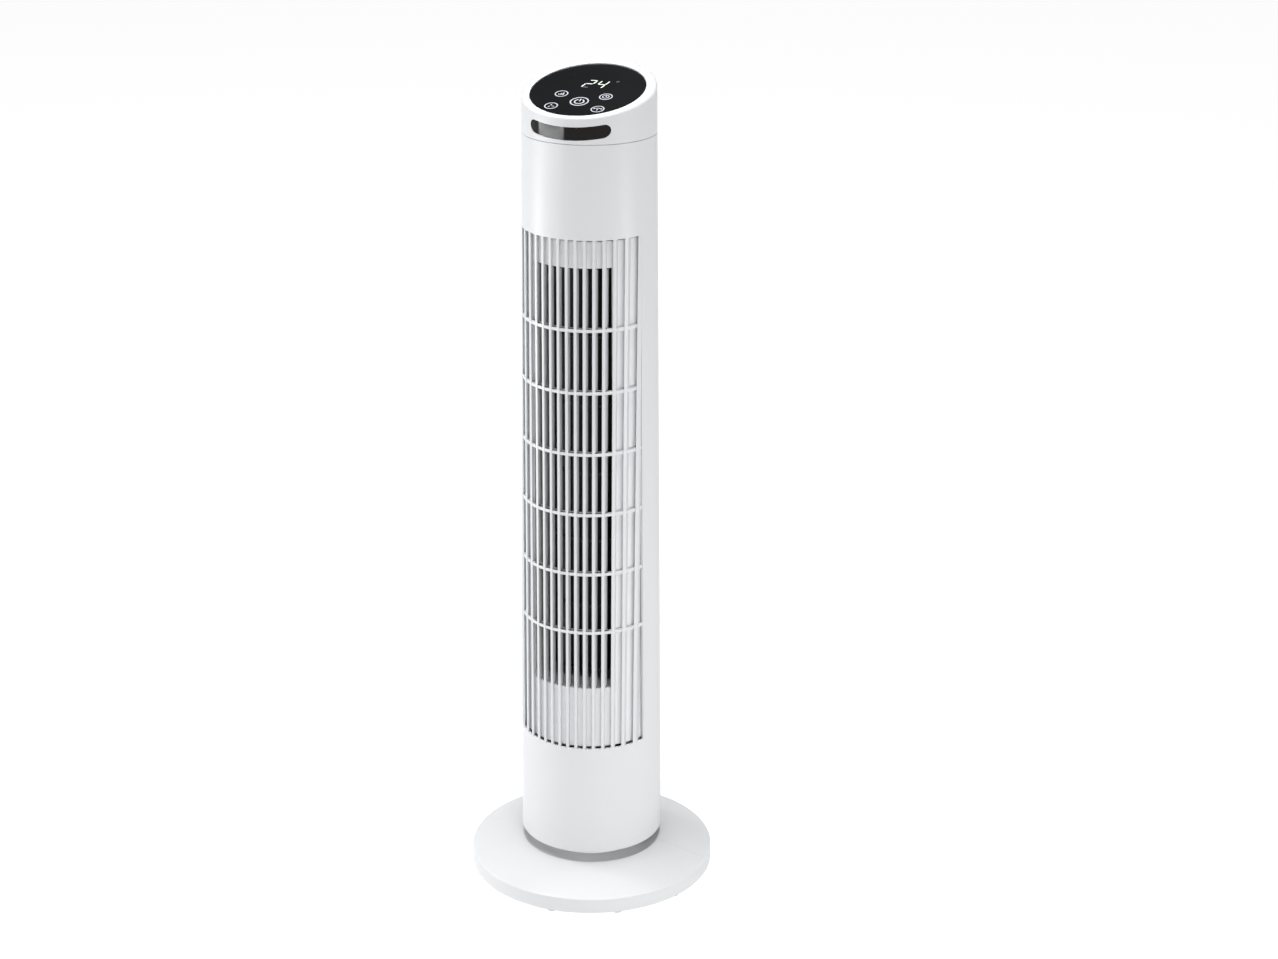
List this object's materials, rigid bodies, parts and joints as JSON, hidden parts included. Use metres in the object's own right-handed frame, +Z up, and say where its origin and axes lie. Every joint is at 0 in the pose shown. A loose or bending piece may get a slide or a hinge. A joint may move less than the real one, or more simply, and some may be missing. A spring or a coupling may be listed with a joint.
{
  "type": "tower fan",
  "caption": "Slim tapered tower fan on a round foot: slatted air outlet, cross-flow impeller, crank-driven swing, and a tilted touch panel with a display and a remote receiver window.",
  "frame": {"origin": "centre of the round foot plate, on the floor under the rubber feet", "axes": "+Z up along the column and the swing axis, -Y out of the air outlet at rest, +X to the fan's own left"},
  "size_m": [0.226, 0.2278, 0.7522],
  "materials": {
    "white_shell": "satin white with a slight blue cast",
    "duct_plastic": "matt, slightly warm",
    "inner_plastic": "matt natural",
    "foot_rubber": "matt pale grey",
    "rubber": "matt",
    "grey_plastic": "matt",
    "screw_steel": "zinc plated",
    "acetal": "low-friction moulding",
    "pressed_steel": "galvanised pressing",
    "bright_steel": "ground bright",
    "core_steel": "stacked laminations",
    "copper_wire": "enamelled copper",
    "bearing_bronze": "sintered bronze",
    "black_plastic": "satin black",
    "circuit_board": "solder mask",
    "cable_sleeve": "woven sleeve",
    "black_glass": "polished black"
  },
  "bodies": {
    "base": {"base_front_half": "white_shell", "base_rear_half": "white_shell", "rubber_feet": "foot_rubber", "neck": "white_shell", "neck_screws": "screw_steel", "cord_gland": "grey_plastic", "thrust_ring": "acetal", "swing_arm": "pressed_steel", "swing_arm_screws": "screw_steel"},
    "tower": {"swing_plate": "inner_plastic", "swing_plate_screws": "screw_steel", "swing_motor": "pressed_steel", "swing_motor_screws": "screw_steel", "front_casing": "white_shell", "rear_casing": "white_shell", "casing_screws": "screw_steel", "outlet_liner": "duct_plastic", "volute_wall": "duct_plastic", "tongue_wall": "duct_plastic", "duct_floor": "inner_plastic", "duct_ceiling": "inner_plastic", "motor_lower_bell": "pressed_steel", "motor_upper_bell": "pressed_steel", "stator_core": "core_steel", "motor_windings": "copper_wire", "motor_bearings": "bearing_bronze", "motor_mounts": "rubber", "motor_screws": "screw_steel", "bearing_bush": "bearing_bronze", "bearing_rubber": "rubber", "main_board": "circuit_board", "board_parts": "black_plastic", "motor_capacitor": "inner_plastic", "wiring_loom": "cable_sleeve", "top_deck": "inner_plastic", "head_shell": "white_shell", "head_screws": "screw_steel", "panel_glass": "black_glass", "touch_springs": "bright_steel", "display_module": "black_plastic", "control_board": "circuit_board", "control_board_screws": "screw_steel", "receiver_window": "black_glass", "receiver_sensor": "black_plastic"},
    "swing_crank": {"crank": "acetal", "crank_roller": "acetal", "swing_motor_shaft": "bright_steel"},
    "rotor": {"motor_rotor": "core_steel", "motor_shaft": "bright_steel", "drive_hub": "black_plastic", "set_screw": "screw_steel", "impeller": "black_plastic", "stub_shaft": "bright_steel"}
  },
  "joints": [
    {"name": "tower_swing", "type": "hinge", "parent": "base", "child": "tower", "pos_m": [0, 0, 0.043], "axis": [0, 0, 1], "range_deg": [-30, 30]},
    {"name": "crank_turn", "type": "hinge", "parent": "tower", "child": "swing_crank", "pos_m": [0, 0.032, 0.05], "axis": [0, 0, 1], "range_deg": [-101, 101]},
    {"name": "impeller_spin", "type": "hinge", "parent": "tower", "child": "rotor", "pos_m": [0, 0.008, 0.2], "axis": [0, 0, 1], "continuous": true}
  ],
  "couplings": [
    {"joint": "crank_turn", "follows": "tower_swing", "ratio": -3.35}
  ]
}
